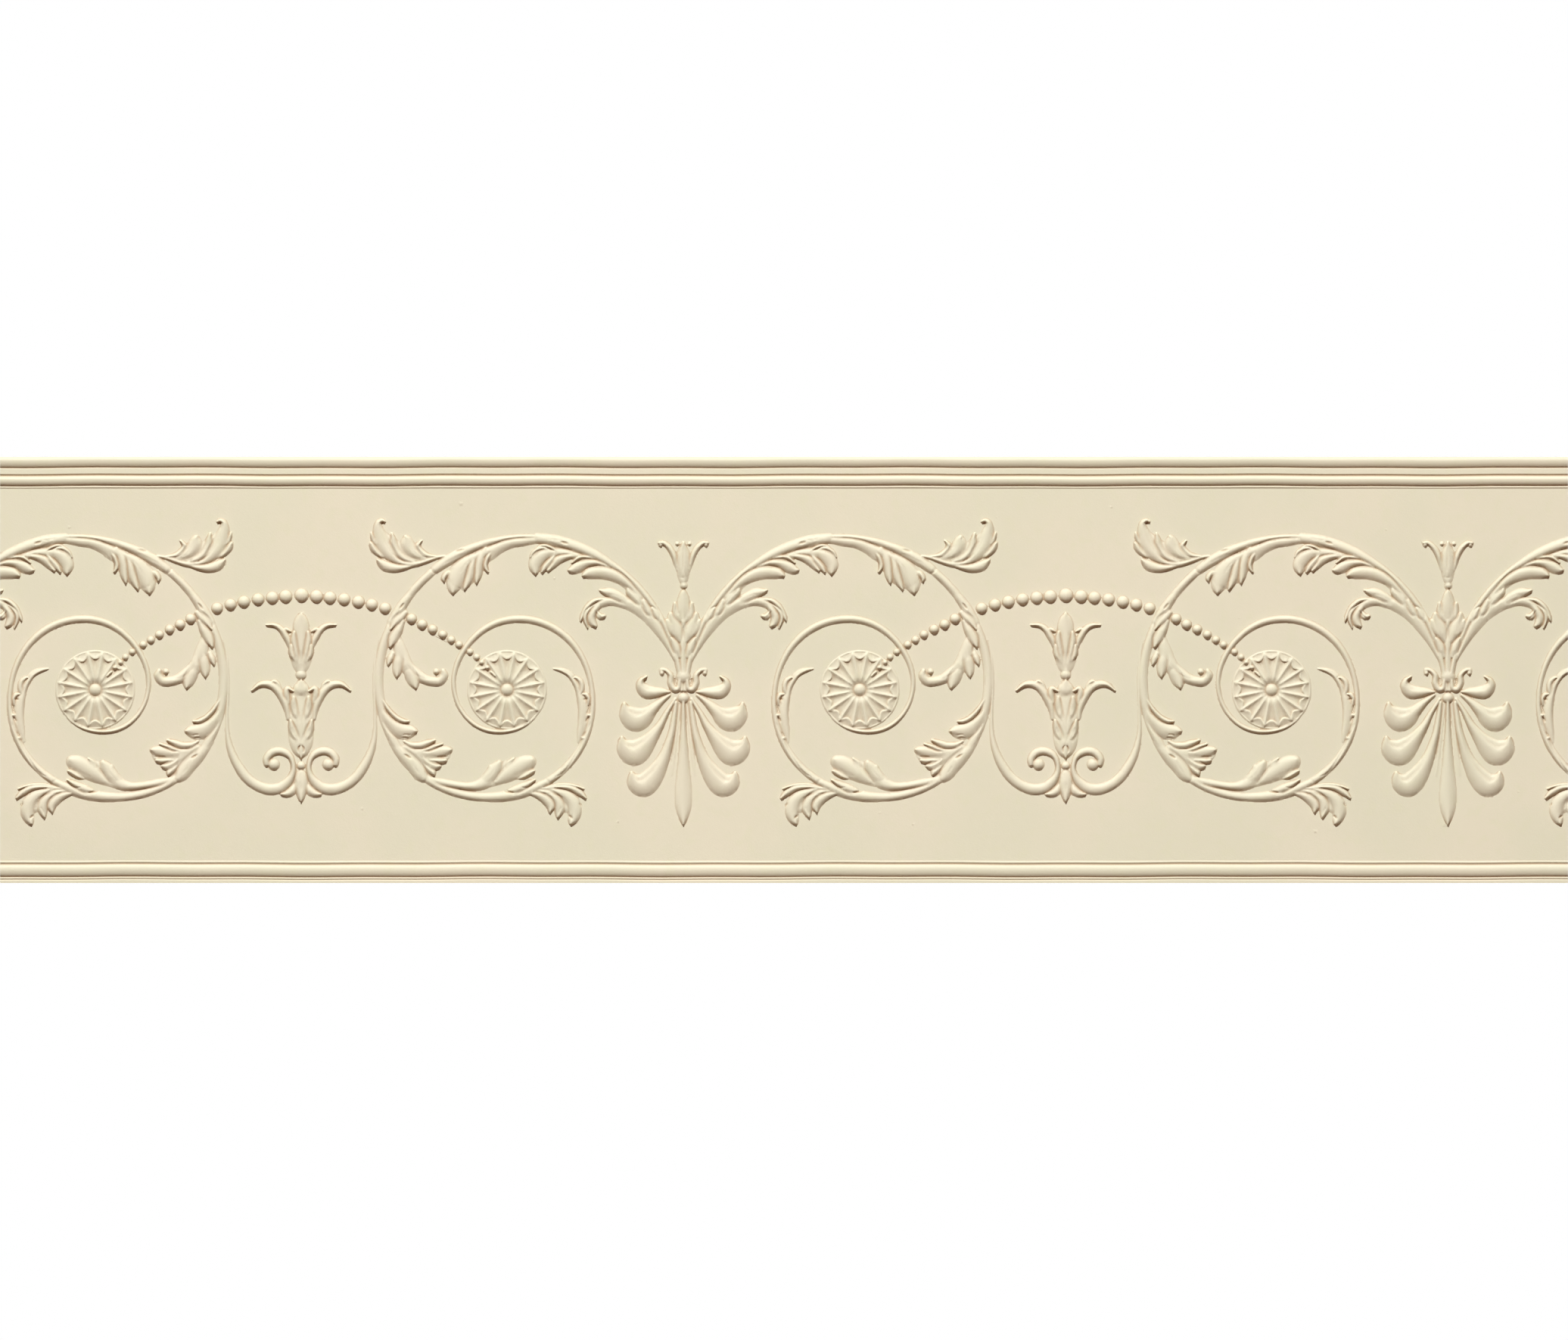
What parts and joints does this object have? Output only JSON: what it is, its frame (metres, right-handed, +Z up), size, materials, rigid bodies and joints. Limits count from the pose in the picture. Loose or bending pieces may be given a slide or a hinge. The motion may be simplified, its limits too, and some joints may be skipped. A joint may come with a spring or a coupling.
{
  "type": "embossed wallpaper frieze",
  "caption": "Embossed wallpaper frieze with acanthus scrolls, rosettes, palmettes, bead strings and candelabra in low relief between rolled borders.",
  "frame": {"origin": "centre of the flat back, on the wall", "axes": "+X along the frieze, +Z up, -Y out of the wall, so the relief faces -Y"},
  "size_m": [1.932, 0.0058, 0.525],
  "materials": {
    "moulded_sheet": "matte"
  },
  "bodies": {
    "root": {"frieze": "moulded_sheet"}
  },
  "joints": []
}
